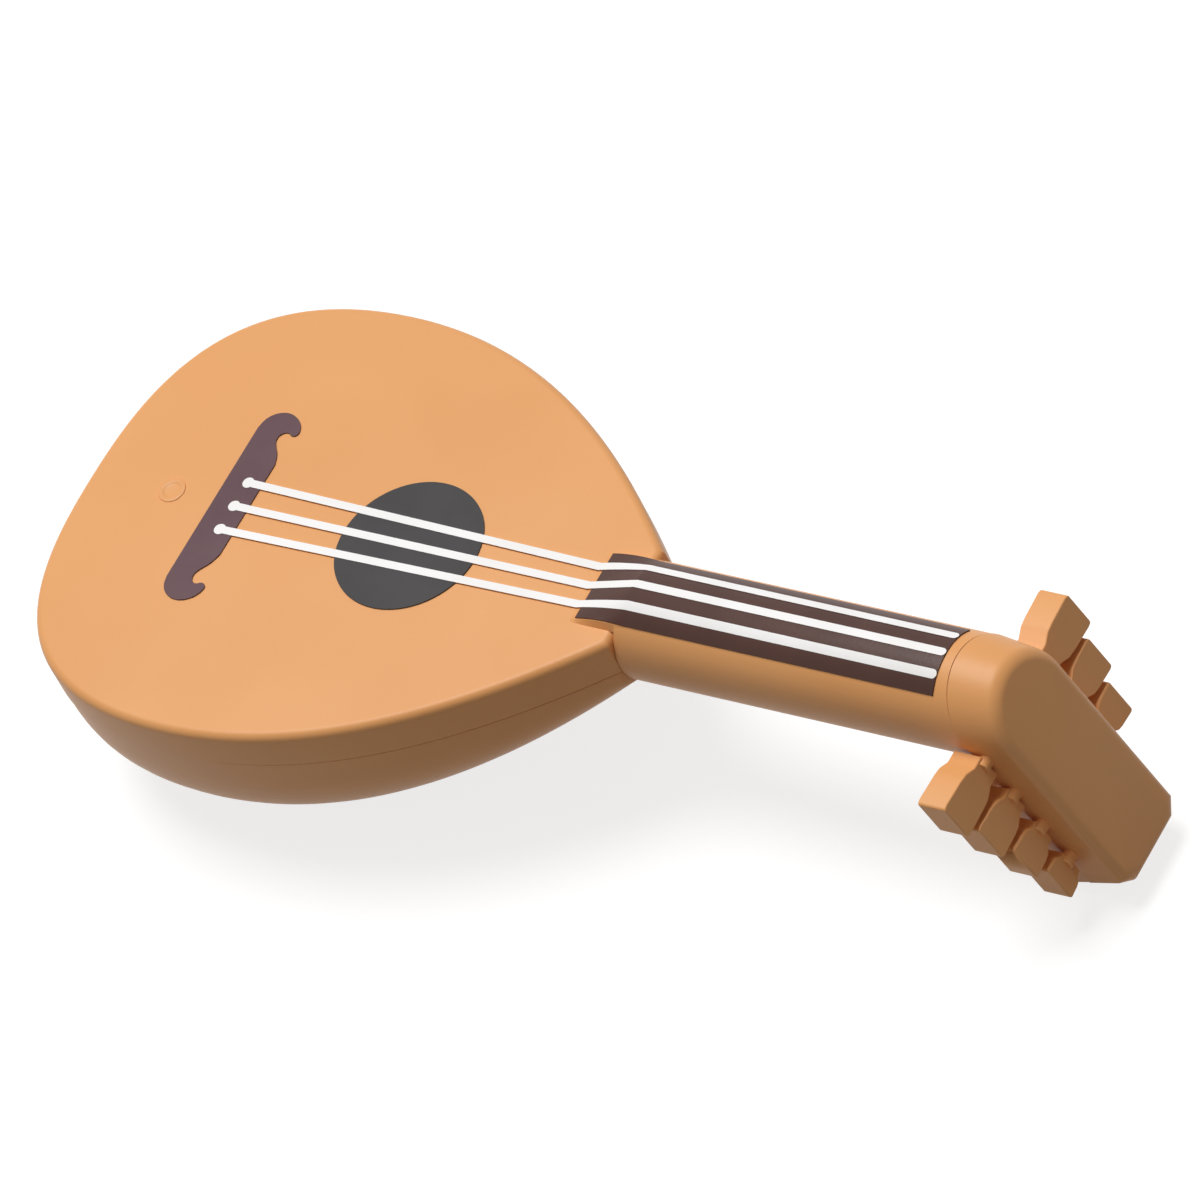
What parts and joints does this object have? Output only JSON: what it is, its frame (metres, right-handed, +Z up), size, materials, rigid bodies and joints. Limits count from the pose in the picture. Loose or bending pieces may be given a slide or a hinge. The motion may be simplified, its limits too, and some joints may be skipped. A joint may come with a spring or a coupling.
{
  "type": "toy lute",
  "caption": "Small moulded plastic toy lute: pear-shaped body with a bowl back, round neck, bent-back pegbox with paddle pegs, and printed strings.",
  "frame": {"origin": "centre of the footprint, on the surface that the bowl and the pegbox rest on", "axes": "+X along the neck towards the pegbox, +Y across the soundboard, +Z up, away from the surface"},
  "size_m": [0.0318, 0.0142, 0.0077],
  "materials": {
    "orange_plastic": "satin moulded plastic",
    "plum_ink": "printed ink",
    "charcoal_ink": "printed ink",
    "brown_ink": "printed ink",
    "white_ink": "printed ink"
  },
  "bodies": {
    "root": {"front_shell": "orange_plastic", "back_shell": "orange_plastic", "neck": "orange_plastic", "pegbox": "orange_plastic", "right_peg_1": "orange_plastic", "right_peg_2": "orange_plastic", "right_peg_3": "orange_plastic", "right_peg_4": "orange_plastic", "left_peg_1": "orange_plastic", "left_peg_2": "orange_plastic", "left_peg_3": "orange_plastic", "sound_hole_print": "charcoal_ink", "bridge_print": "plum_ink", "fingerboard_print": "brown_ink", "string_print_1": "white_ink", "string_print_2": "white_ink", "string_print_3": "white_ink"}
  },
  "joints": []
}
